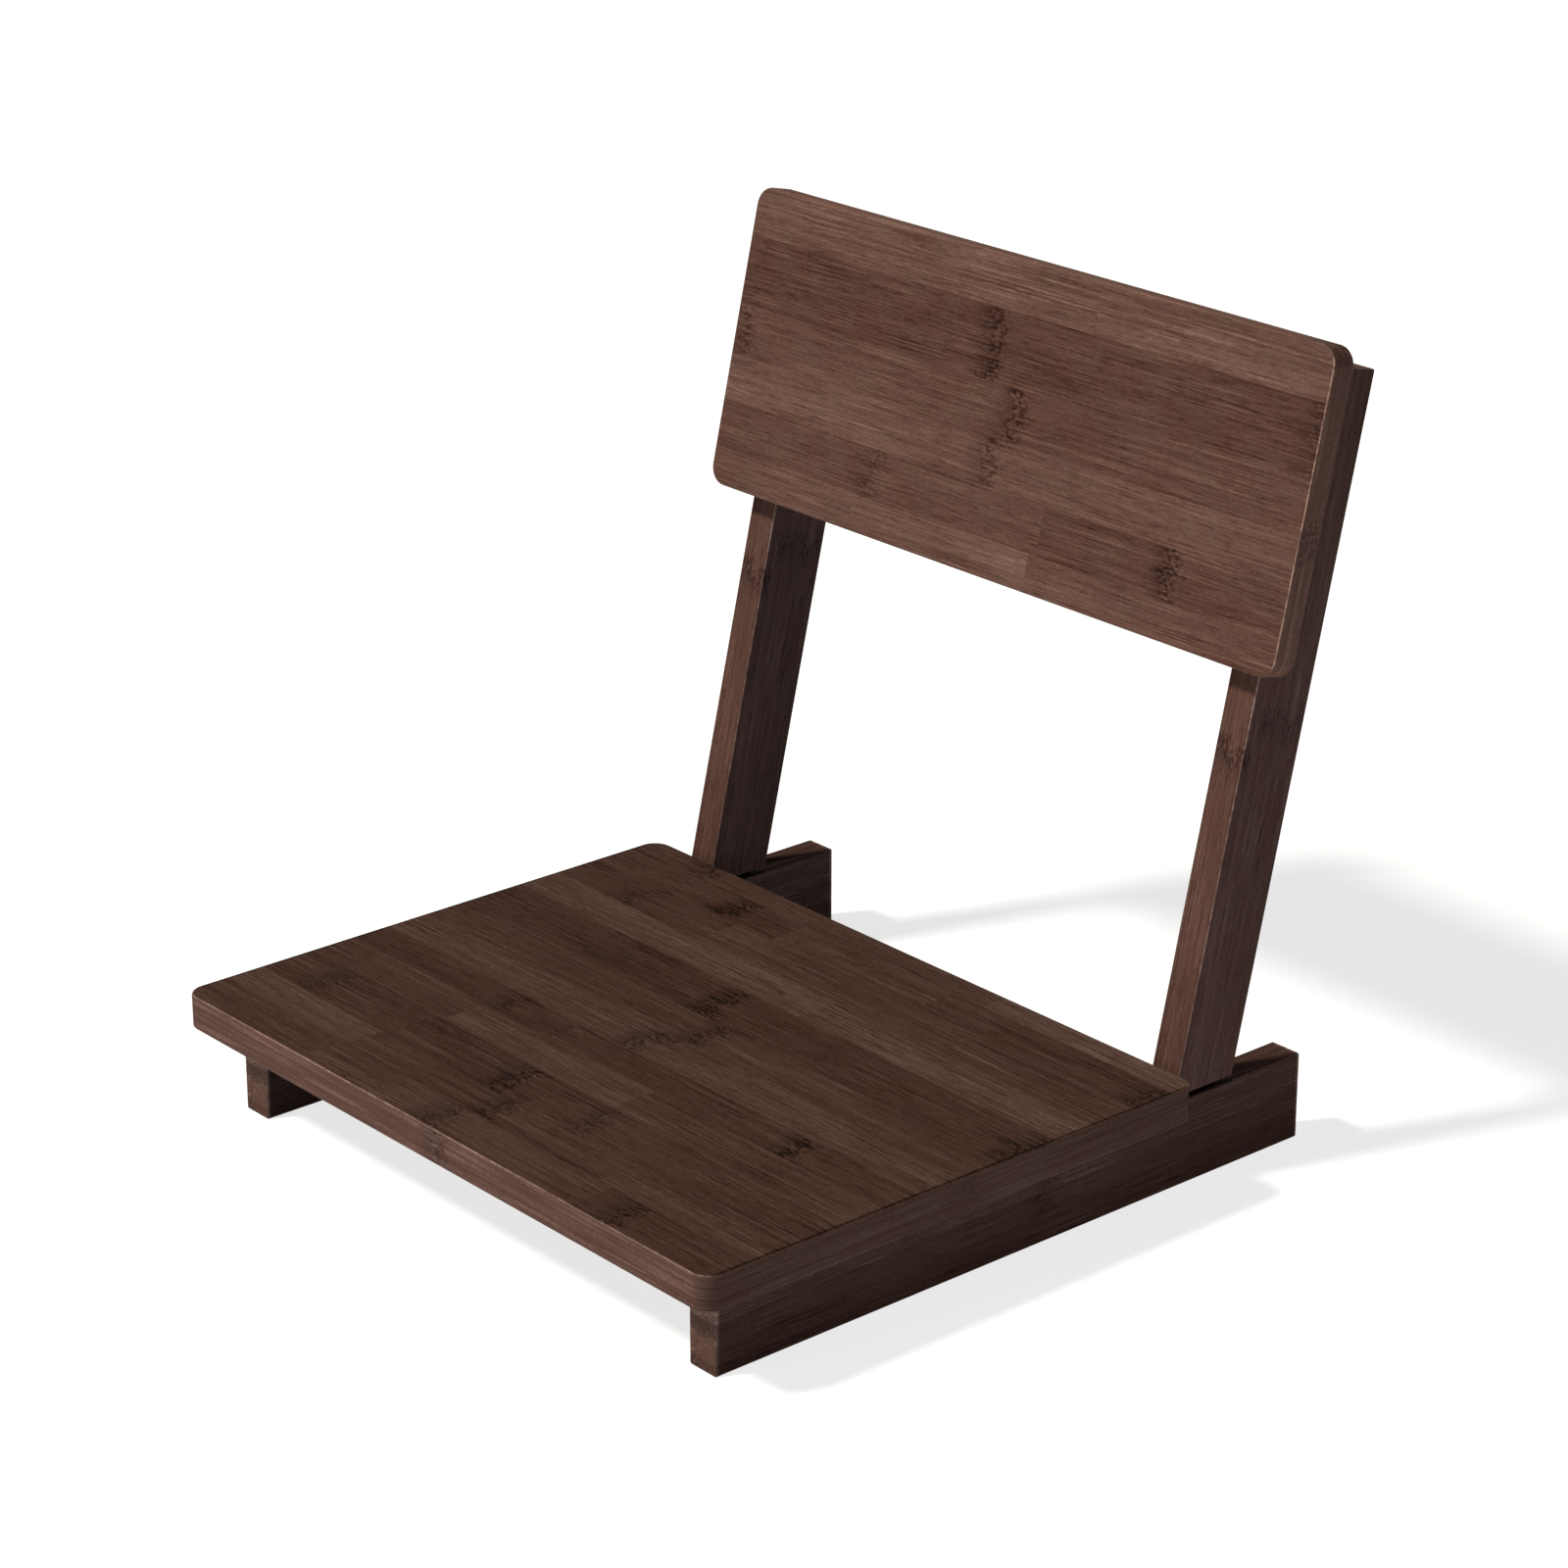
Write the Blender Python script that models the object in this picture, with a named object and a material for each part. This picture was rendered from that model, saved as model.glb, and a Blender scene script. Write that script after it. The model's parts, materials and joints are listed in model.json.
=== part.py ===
"""Floor chair: a low bamboo seat on two rails, and a backrest that plugs into the rails and lifts out.

Metres, +Z up. The seat's front edge faces -Y, and left and right are as seen from the front.
The origin is on the floor, under the middle of the chair's overall width and depth.
"""
import math

import bmesh
import bpy
from mathutils import Vector

# Driving dimensions: boards
SEAT_WIDTH = 0.400
SEAT_DEPTH = 0.300
SEAT_THICKNESS = 0.018
SEAT_OVERHANG = 0.0193          # seat's side past the rail's outer face
BACKBOARD_HEIGHT = 0.156
BACKBOARD_THICKNESS = 0.0142
BACKBOARD_OVERHANG = 0.0198     # backboard's end past the upright's outer face
BOARD_CORNER_RADIUS = 0.010
BOARD_EDGE_RADIUS = 0.0015

# Driving dimensions: rails and uprights
BAR_THICKNESS = 0.018           # rails and uprights, across the chair
BAR_EDGE_RADIUS = 0.001
RAIL_HEIGHT = 0.045
RAIL_SETBACK = 0.021            # seat's front edge to the rail's front end
RAIL_TAIL = 0.048               # upright's rear foot to the rail's rear end
UPRIGHT_DEPTH = 0.038           # front face to rear face
LEAN = math.radians(13.0)
SEAT_TO_UPRIGHT = 0.0042        # seat's rear edge to the upright's front face, at the rail's top
SHOULDER_GAP = 0.0024           # dark gap between the rail's top and the upright's foot
BACKBOARD_RISE = 0.212          # rail's top to the backboard's lower edge, along the upright
UPRIGHT_TOP_DROP = 0.012        # backboard's upper edge to the upright's top

# Driving dimensions: plug-in joint
TENON_CHEEK = 0.0045            # wood left at each side of the tenon
TENON_SHOULDER = 0.006          # wood left before and behind the tenon
TENON_CHAMFER = 0.001
MORTISE_FLOOR = 0.008           # wood left under the mortise

# Driving dimensions: fasteners
SCREW_DIAMETER = 0.004
SCREW_POINT = 0.006
SCREW_HEAD_DIAMETER = 0.008
SCREW_HEAD_HEIGHT = 0.0026
RECESS_REACH = 0.0024           # cross recess, middle to the end of an arm
RECESS_WIDTH = 0.0011
RECESS_DEPTH = 0.0014
SEAT_COUNTERBORE = 0.022
BACK_COUNTERBORE = 0.008
DOWEL_DIAMETER = 0.008
DOWEL_FLUTE = 0.0003            # depth of the glue grooves
DOWEL_CHAMFER = 0.001
DOWEL_ROOT = 0.018              # dowel's length in the rail or upright
FACE_COVER = 0.005              # wood left over the end of a screw or dowel
FASTENER_MARGIN = 0.030         # outermost fastener to the end of the joint

# Clearances
FIT_GAP = 0.0003                # between pieces that touch
HEAD_CLEARANCE = 0.0005         # round a screw head in its counterbore
CUT_OVERSHOOT = 0.004           # how far a cutter stands out of the surface that it opens

# Facets
CORNER_STEPS = 10
EDGE_STEPS = 4
ROUND_STEPS = 18
FLUTES = 10

# Finishes: colour, roughness, metallic
STAINED_BAMBOO = {
    "seat": ((0.105, 0.058, 0.042), 0.50, 0.0),
    "backboard": ((0.135, 0.075, 0.055), 0.50, 0.0),
    "rail": ((0.085, 0.047, 0.037), 0.52, 0.0),
    "upright": ((0.100, 0.055, 0.043), 0.52, 0.0),
}
ZINC_STEEL = ((0.62, 0.62, 0.60), 0.35, 1.0)
BEECH = ((0.60, 0.42, 0.26), 0.65, 0.0)

# Derived layout, measured from the seat's front edge
SIDES = {"left": -1.0, "right": 1.0}
SEAT_UNDERSIDE = RAIL_HEIGHT + FIT_GAP
BAR_OUTER = SEAT_WIDTH / 2 - SEAT_OVERHANG
BAR_MIDDLE = BAR_OUTER - BAR_THICKNESS / 2
FOOT_FRONT = SEAT_DEPTH + SEAT_TO_UPRIGHT
FOOT_REAR = FOOT_FRONT + UPRIGHT_DEPTH / math.cos(LEAN)
RAIL_REAR = FOOT_REAR + RAIL_TAIL
UPRIGHT_TOP = BACKBOARD_RISE + BACKBOARD_HEIGHT - UPRIGHT_TOP_DROP
UPRIGHT_REACH = (
    FOOT_FRONT
    + (UPRIGHT_DEPTH - BAR_EDGE_RADIUS) * math.cos(LEAN)
    + (UPRIGHT_TOP - BAR_EDGE_RADIUS) * math.sin(LEAN)
    + BAR_EDGE_RADIUS
)
FRONT = -max(UPRIGHT_REACH, RAIL_REAR) / 2
TENON_LENGTH = (
    RAIL_HEIGHT - MORTISE_FLOOR - FIT_GAP - (UPRIGHT_DEPTH - TENON_SHOULDER) * math.sin(LEAN)
) / math.cos(LEAN)


def clear_scene():
    """Removes every object that is in the scene at the start."""
    for obj in list(bpy.data.objects):
        bpy.data.objects.remove(obj, do_unlink=True)


def finish(name, values):
    """A plain material from a colour, a roughness and a metallic value."""
    colour, roughness, metallic = values
    material = bpy.data.materials.new(name)
    material.use_nodes = True
    shader = material.node_tree.nodes["Principled BSDF"]
    shader.inputs["Base Color"].default_value = (*colour, 1.0)
    shader.inputs["Roughness"].default_value = roughness
    shader.inputs["Metallic"].default_value = metallic
    material.diffuse_color = (*colour, 1.0)
    return material


def place(name, mesh, parent=None, location=(0, 0, 0), turn_x=0.0):
    """Puts a mesh into the scene as a named object."""
    obj = bpy.data.objects.new(name, mesh)
    bpy.context.collection.objects.link(obj)
    obj.parent = parent
    obj.location = location
    obj.rotation_euler = (turn_x, 0, 0)
    return obj


def hide_helper(obj):
    """Marks an object that only shapes others."""
    obj.hide_render = True
    obj.display_type = "WIRE"
    return obj


def to_mesh(name, bm):
    """Closes a bmesh into a mesh with outward faces and soft rounds."""
    bmesh.ops.recalc_face_normals(bm, faces=bm.faces)
    mesh = bpy.data.meshes.new(name)
    bm.to_mesh(mesh)
    bm.free()
    mesh.shade_smooth()
    mesh.set_sharp_from_angle(angle=math.radians(35))
    return mesh


def prism(name, outline, sweep):
    """A closed outline of 3-D points, carried straight along the sweep vector."""
    bm = bmesh.new()
    face = bm.faces.new([bm.verts.new(point) for point in outline])
    swept = bmesh.ops.extrude_face_region(bm, geom=[face])
    moved = [item for item in swept["geom"] if isinstance(item, bmesh.types.BMVert)]
    bmesh.ops.translate(bm, verts=moved, vec=Vector(sweep))
    return to_mesh(name, bm)


def turned(name, profile, radius_at=None):
    """A profile of (radius, height) points, from axis to axis, turned about Z.

    radius_at may change a radius from step to step round the axis, as flutes do.
    """
    steps = ROUND_STEPS if radius_at is None else 2 * FLUTES
    bm = bmesh.new()
    bottom = bm.verts.new((0, 0, profile[0][1]))
    top = bm.verts.new((0, 0, profile[-1][1]))
    rings = []
    for radius, height in profile[1:-1]:
        ring = []
        for step in range(steps):
            angle = 2 * math.pi * step / steps
            reach = radius if radius_at is None else radius_at(radius, step)
            ring.append(bm.verts.new((reach * math.cos(angle), reach * math.sin(angle), height)))
        rings.append(ring)
    for step in range(steps):
        after = (step + 1) % steps
        bm.faces.new((bottom, rings[0][after], rings[0][step]))
        bm.faces.new((top, rings[-1][step], rings[-1][after]))
        for lower, upper in zip(rings, rings[1:]):
            bm.faces.new((lower[step], lower[after], upper[after], upper[step]))
    return to_mesh(name, bm)


def rounded_rectangle(width, height, radius):
    """Outline points of a rectangle round the origin, with arcs at its corners."""
    points = []
    for corner, (side_x, side_y) in enumerate(((1, 1), (-1, 1), (-1, -1), (1, -1))):
        middle_x = side_x * (width / 2 - radius)
        middle_y = side_y * (height / 2 - radius)
        for step in range(CORNER_STEPS + 1):
            angle = math.pi / 2 * (corner + step / CORNER_STEPS)
            points.append((middle_x + radius * math.cos(angle), middle_y + radius * math.sin(angle)))
    return points


def round_edges(obj, radius):
    """Rounds every sharp edge of a piece."""
    bevel = obj.modifiers.new("eased_edges", "BEVEL")
    bevel.width = radius
    bevel.segments = EDGE_STEPS
    bevel.limit_method = "ANGLE"
    bevel.angle_limit = math.radians(30)


def combine(obj, helper, operation):
    """Cuts a helper out of a piece, or joins it on."""
    boolean = obj.modifiers.new(helper.name, "BOOLEAN")
    boolean.operation = operation
    boolean.object = helper


def chair_point(x, y, z):
    """A point given from the seat's front edge, in the chair's own frame."""
    return (x, FRONT + y, z)


def make_seat():
    """The seat board, lying on the rails."""
    outline = rounded_rectangle(SEAT_WIDTH, SEAT_DEPTH, BOARD_CORNER_RADIUS)
    mesh = prism("seat_board", [(x, y, 0) for x, y in outline], (0, 0, SEAT_THICKNESS))
    seat = place("seat_board", mesh, location=chair_point(0, SEAT_DEPTH / 2, SEAT_UNDERSIDE))
    round_edges(seat, BOARD_EDGE_RADIUS)
    mesh.materials.append(finish("stained_bamboo_seat", STAINED_BAMBOO["seat"]))
    return seat


def make_rail(side):
    """One floor rail, a straight bar from under the seat's front to behind the upright."""
    half = BAR_THICKNESS / 2
    outline = [(-half, RAIL_SETBACK, 0), (half, RAIL_SETBACK, 0), (half, RAIL_REAR, 0), (-half, RAIL_REAR, 0)]
    mesh = prism("rail_" + side, outline, (0, 0, RAIL_HEIGHT))
    rail = place("rail_" + side, mesh, location=chair_point(SIDES[side] * BAR_MIDDLE, 0, 0))
    round_edges(rail, BAR_EDGE_RADIUS)
    mesh.materials.append(finish("stained_bamboo_rail_" + side, STAINED_BAMBOO["rail"]))
    return rail


def make_backrest_frame():
    """The backrest's own frame: on the uprights' front faces at the rail's top, Z along the lean."""
    frame = bpy.data.objects.new("backrest_frame", None)
    bpy.context.collection.objects.link(frame)
    frame.location = chair_point(0, FOOT_FRONT, RAIL_HEIGHT)
    frame.rotation_euler = (-LEAN, 0, 0)
    return frame


def tenon_block(name, frame, side, clearance, rise):
    """The tenon's block grown by a clearance, from its square end up to a height above the rail's top."""
    half = BAR_THICKNESS / 2 - TENON_CHEEK + clearance
    near = TENON_SHOULDER - clearance
    far = UPRIGHT_DEPTH - TENON_SHOULDER + clearance
    low = -TENON_LENGTH - clearance
    outline = [(-half, near, low), (half, near, low), (half, far, low), (-half, far, low)]
    mesh = prism(name, outline, (0, 0, rise - low))
    return hide_helper(place(name, mesh, frame, (SIDES[side] * BAR_MIDDLE, 0, 0)))


def make_upright(side, frame):
    """One leaning upright: a bar whose foot is cut level with the rail, with a tenon under it."""
    half = BAR_THICKNESS / 2
    foot_front = SHOULDER_GAP / math.cos(LEAN)
    foot_rear = (SHOULDER_GAP + UPRIGHT_DEPTH * math.sin(LEAN)) / math.cos(LEAN)
    outline = [
        (-half, 0, foot_front),
        (-half, UPRIGHT_DEPTH, foot_rear),
        (-half, UPRIGHT_DEPTH, UPRIGHT_TOP),
        (-half, 0, UPRIGHT_TOP),
    ]
    mesh = prism("upright_" + side, outline, (BAR_THICKNESS, 0, 0))
    upright = place("upright_" + side, mesh, frame, (SIDES[side] * BAR_MIDDLE, 0, 0))
    round_edges(upright, BAR_EDGE_RADIUS)
    tenon = tenon_block("tenon_" + side, frame, side, 0.0, foot_rear + TENON_SHOULDER)
    round_edges(tenon, TENON_CHAMFER)
    combine(upright, tenon, "UNION")
    mesh.materials.append(finish("stained_bamboo_upright_" + side, STAINED_BAMBOO["upright"]))
    return upright


def cut_mortise(rail, side, frame):
    """The leaning socket in the rail that takes the upright's tenon."""
    rise = UPRIGHT_DEPTH * math.tan(LEAN) + CUT_OVERSHOOT
    socket = tenon_block("mortise_" + side, frame, side, FIT_GAP, rise)
    combine(rail, socket, "DIFFERENCE")


def make_backboard(frame):
    """The backboard, on the uprights' front faces."""
    width = 2 * (BAR_OUTER + BACKBOARD_OVERHANG)
    outline = rounded_rectangle(width, BACKBOARD_HEIGHT, BOARD_CORNER_RADIUS)
    mesh = prism("backboard", [(x, 0, z) for x, z in outline], (0, -BACKBOARD_THICKNESS, 0))
    board = place("backboard", mesh, frame, (0, -FIT_GAP, BACKBOARD_RISE + BACKBOARD_HEIGHT / 2))
    round_edges(board, BOARD_EDGE_RADIUS)
    mesh.materials.append(finish("stained_bamboo_backboard", STAINED_BAMBOO["backboard"]))
    return board


def screw_mesh(name, length):
    """A wood screw along Z: flat-seated round head below zero, shank and point above, cross recess."""
    shank = SCREW_DIAMETER / 2
    head = SCREW_HEAD_DIAMETER / 2
    crown = SCREW_HEAD_HEIGHT / 2
    profile = [
        (0, -SCREW_HEAD_HEIGHT),
        (head - crown, -SCREW_HEAD_HEIGHT),
        (head, -SCREW_HEAD_HEIGHT + crown),
        (head, 0),
        (shank, 0),
        (shank, length - SCREW_POINT),
        (shank / 4, length),
        (0, length),
    ]
    blank = place(name + "_blank", turned(name + "_blank", profile))
    reach, half = RECESS_REACH, RECESS_WIDTH / 2
    cross = [
        (reach, half), (half, half), (half, reach), (-half, reach), (-half, half), (-reach, half),
        (-reach, -half), (-half, -half), (-half, -reach), (half, -reach), (half, -half), (reach, -half),
    ]
    low = -SCREW_HEAD_HEIGHT - CUT_OVERSHOOT
    recess = place(name + "_recess", prism(
        name + "_recess", [(x, y, low) for x, y in cross], (0, 0, RECESS_DEPTH + CUT_OVERSHOOT)))
    combine(blank, recess, "DIFFERENCE")
    evaluated = blank.evaluated_get(bpy.context.evaluated_depsgraph_get())
    mesh = bpy.data.meshes.new_from_object(evaluated)
    mesh.name = name
    for helper in (blank, recess):
        bpy.data.objects.remove(helper, do_unlink=True)
    mesh.materials.clear()
    mesh.materials.append(finish("zinc_steel_" + name, ZINC_STEEL))
    return mesh


def screw_hole(name, length, counterbore):
    """The hole for a screw along Z: counterbore below its head, then a clearance hole past its point."""
    bore = SCREW_DIAMETER / 2 + FIT_GAP
    wide = SCREW_HEAD_DIAMETER / 2 + HEAD_CLEARANCE
    low = FIT_GAP - counterbore - CUT_OVERSHOOT
    high = length + FIT_GAP
    return turned(name, [(0, low), (wide, low), (wide, FIT_GAP), (bore, FIT_GAP), (bore, high), (0, high)])


def fluted(radius, step):
    """Every second step round a dowel lies at the bottom of a flute."""
    return radius - DOWEL_FLUTE * (step % 2)


def dowel_mesh(name, bite):
    """A fluted dowel along Z: its root below zero, its bite above, both ends chamfered."""
    radius = DOWEL_DIAMETER / 2
    narrow = radius - DOWEL_CHAMFER
    profile = [
        (0, -DOWEL_ROOT),
        (narrow, -DOWEL_ROOT),
        (radius, -DOWEL_ROOT + DOWEL_CHAMFER),
        (radius, bite - DOWEL_CHAMFER),
        (narrow, bite),
        (0, bite),
    ]
    mesh = turned(name, profile, fluted)
    mesh.materials.append(finish("beech_" + name, BEECH))
    return mesh


def dowel_hole(name, bite):
    """The two facing holes for a dowel, as one straight cutter."""
    radius = DOWEL_DIAMETER / 2 + FIT_GAP
    low = -DOWEL_ROOT - FIT_GAP
    high = bite + FIT_GAP
    return turned(name, [(0, low), (radius, low), (radius, high), (0, high)])


def fasten(name, mesh, hole, joined, location, parent=None, turn_x=0.0):
    """Places a fastener and cuts its hole through the pieces that it joins."""
    place(name, mesh, parent, location, turn_x)
    cutter = hide_helper(place(name + "_hole", hole, parent, location, turn_x))
    for piece in joined:
        combine(piece, cutter, "DIFFERENCE")


def spread(first, last, count):
    """Evenly spaced places from first to last."""
    return [first + (last - first) * step / (count - 1) for step in range(count)]


def fasten_seat(seat, rails):
    """Screws and dowels in turn along each rail, up into the seat."""
    bearing = SEAT_COUNTERBORE - FIT_GAP
    length = SEAT_UNDERSIDE + SEAT_THICKNESS - FACE_COVER - bearing
    bite = SEAT_UNDERSIDE + SEAT_THICKNESS - FACE_COVER - RAIL_HEIGHT
    screw, hole = screw_mesh("seat_screw", length), screw_hole("seat_screw_hole", length, SEAT_COUNTERBORE)
    dowel, socket = dowel_mesh("seat_dowel", bite), dowel_hole("seat_dowel_hole", bite)
    places = spread(RAIL_SETBACK + FASTENER_MARGIN, SEAT_DEPTH - FASTENER_MARGIN, 5)
    for side, rail in rails.items():
        x = SIDES[side] * BAR_MIDDLE
        joined = (rail, seat)
        for label, y in zip(("front", "middle", "rear"), places[0::2]):
            fasten(f"seat_screw_{side}_{label}", screw, hole, joined, chair_point(x, y, bearing))
        for label, y in zip(("front", "rear"), places[1::2]):
            fasten(f"seat_dowel_{side}_{label}", dowel, socket, joined, chair_point(x, y, RAIL_HEIGHT))


def fasten_backboard(board, uprights, frame):
    """A screw, a dowel and a screw up each upright, from its rear face into the backboard."""
    forward = math.radians(90)
    bearing = UPRIGHT_DEPTH - BACK_COUNTERBORE + FIT_GAP
    bite = FIT_GAP + BACKBOARD_THICKNESS - FACE_COVER
    length = bearing + bite
    screw, hole = screw_mesh("back_screw", length), screw_hole("back_screw_hole", length, BACK_COUNTERBORE)
    dowel, socket = dowel_mesh("back_dowel", bite), dowel_hole("back_dowel_hole", bite)
    lower, middle, upper = spread(BACKBOARD_RISE + FASTENER_MARGIN, UPRIGHT_TOP - FASTENER_MARGIN, 3)
    for side, upright in uprights.items():
        x = SIDES[side] * BAR_MIDDLE
        joined = (upright, board)
        for label, z in (("lower", lower), ("upper", upper)):
            fasten(f"back_screw_{side}_{label}", screw, hole, joined, (x, bearing, z), frame, forward)
        fasten(f"back_dowel_{side}", dowel, socket, joined, (x, 0, middle), frame, forward)


def main():
    """Builds the base, then the backrest that stands in it."""
    clear_scene()
    seat = make_seat()
    rails = {side: make_rail(side) for side in SIDES}
    fasten_seat(seat, rails)
    frame = make_backrest_frame()
    uprights = {side: make_upright(side, frame) for side in SIDES}
    for side, rail in rails.items():
        cut_mortise(rail, side, frame)
    board = make_backboard(frame)
    fasten_backboard(board, uprights, frame)


main()
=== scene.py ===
import json
import math

import bmesh
import bpy
import numpy as np
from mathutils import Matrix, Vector


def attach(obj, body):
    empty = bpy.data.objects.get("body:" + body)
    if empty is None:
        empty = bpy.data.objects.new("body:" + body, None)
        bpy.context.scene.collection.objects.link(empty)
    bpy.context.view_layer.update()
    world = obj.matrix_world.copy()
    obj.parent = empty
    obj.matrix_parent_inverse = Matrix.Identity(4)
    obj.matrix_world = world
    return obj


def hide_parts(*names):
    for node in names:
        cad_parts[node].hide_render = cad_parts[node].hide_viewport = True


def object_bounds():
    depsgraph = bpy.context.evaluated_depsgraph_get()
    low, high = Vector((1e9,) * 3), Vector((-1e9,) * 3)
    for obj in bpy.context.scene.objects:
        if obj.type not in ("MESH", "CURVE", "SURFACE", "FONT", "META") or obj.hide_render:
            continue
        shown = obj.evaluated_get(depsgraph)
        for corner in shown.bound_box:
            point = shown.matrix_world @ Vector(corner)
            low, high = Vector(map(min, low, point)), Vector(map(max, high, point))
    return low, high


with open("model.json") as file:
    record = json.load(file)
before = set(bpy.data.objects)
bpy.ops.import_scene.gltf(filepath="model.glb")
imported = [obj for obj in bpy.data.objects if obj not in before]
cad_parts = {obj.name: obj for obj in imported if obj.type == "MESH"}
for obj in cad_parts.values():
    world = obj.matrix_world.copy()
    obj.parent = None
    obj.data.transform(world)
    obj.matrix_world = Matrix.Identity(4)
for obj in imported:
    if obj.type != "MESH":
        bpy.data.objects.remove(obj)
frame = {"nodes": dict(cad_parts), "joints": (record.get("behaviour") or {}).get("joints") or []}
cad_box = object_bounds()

# Units: metres for shapes, millimetres for the patterns of the materials
MM = 0.001
FAR = 1.0                       # well past the chair on every side

# Board and bar shapes that the frame's boxes don't give
BOARD_CORNER = 10.0 * MM
BOARD_EDGE = 1.3 * MM
BAR_EDGE = 1.0 * MM
CORNER_STEPS = 14
EDGE_STEPS = 8
FLAT_MARGIN = 0.4 * MM          # ring just inside an edge's rounding, which keeps the face's shading flat
SCREW_BORE = 2.3 * MM           # radius of a screw's hole
DOWEL_BORE = 4.3 * MM           # radius of a dowel's hole
BORE_START = 1.0 * MM           # how far a cutter stands out of the board
BORE_END = 0.3 * MM             # room past the end of a screw or dowel
BORE_STEPS = 24
SHOULDER = 47.3 * MM            # height under which an upright is a tenon
SHOULDER_REACH = 3.1 * MM       # from the shoulder down to the rail's edge
MERGE_GAP = 0.001 * MM
SHARP_ANGLE = math.radians(35)

# The backrest's lean, from the slide that it lifts out along
LIFT = np.array(frame["joints"][0]["axis"], float)
LEAN = math.atan2(LIFT[1], LIFT[2])
ACROSS_CHAIR = np.array((1.0, 0.0, 0.0))
BACK = np.array((0.0, 1.0, 0.0))
UP = np.array((0.0, 0.0, 1.0))
BOARD_FRONT = np.cross(ACROSS_CHAIR, LIFT)
CHAIR_MIDDLE = (cad_box[0] + cad_box[1]) / 2

# Camera, for a picture of 1600 by 1600 pixels
PICTURE_PX = 1600
FOCAL_PX = 4584.7
SENSOR_MM = 36.0
CAMERA_PLACE = (1.5171, -1.3020, 0.9664)
CAMERA_AZIMUTH = math.radians(49.236)
CAMERA_ELEVATION = math.radians(21.529)

# Light: what a white card that faces a lamp would show, where 1 is white
KEY_LEVEL = 1.01
KEY_AZIMUTH = math.radians(-25)
KEY_ELEVATION = math.radians(51)
KEY_WIDTH = math.radians(8)
KEY_DISTANCE = 3.0
ROOM_LEVEL = 0.05
ROOM_COLOUR = "#eaf3ff"
# Soft lamps: azimuth, elevation, distance, width, level at the chair's middle and colour
SOFT_LAMPS = {
    "front_fill": (-4, -4, 2.4, 1.0, 0.42, "#f2f7ff"),
    "side_fill": (84, -7, 0.80, 0.36, 0.385, "#dde9ff"),
    "back_wash": (228, -22, 2.4, 1.6, 1.00, "#f6f9ff"),
    "under_wash": (0, -90, 1.5, 1.2, 0.42, "#ffffff"),
}
# Paper floor: its size, its own glow, and its colour to the eye and to the light that it throws back
FLOOR_SIZE = 30.0
FLOOR_GLOW = 0.76
FLOOR_COLOUR = "#b8b4ac"
BOUNCE_COLOUR = "#404040"


# Shapes

def points_in(mesh):
    """The points of a mesh, as an array."""
    flat = np.empty(len(mesh.vertices) * 3, np.float32)
    mesh.vertices.foreach_get("co", flat)
    return flat.reshape(-1, 3).astype(float)


def points_of(node):
    """The points of a solid, as an array."""
    return points_in(frame["nodes"][node].data)


def box_in(points, axes):
    """The lowest and the highest place of points along three axes, and the middle of their box as a point."""
    turn = np.stack(axes, axis=1)
    local = points @ turn
    low, high = local.min(axis=0), local.max(axis=0)
    return low, high, turn @ ((low + high) / 2)


def size_in(node, axes):
    """A solid's size along a piece's own axes, in millimetres, and its middle as a point in metres."""
    low, high, centre = box_in(points_of(node), axes)
    return ((high - low) / MM).tolist(), centre


def add_object(name, mesh):
    """A mesh as an object at the origin, its place in its points."""
    piece = bpy.data.objects.new(name, mesh)
    bpy.context.scene.collection.objects.link(piece)
    return piece


def set_attribute(mesh, name, values):
    """One number for each point of a mesh."""
    attribute = mesh.attributes.new(name, "FLOAT", "POINT")
    attribute.data.foreach_set("value", np.asarray(values, np.float32))


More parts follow.
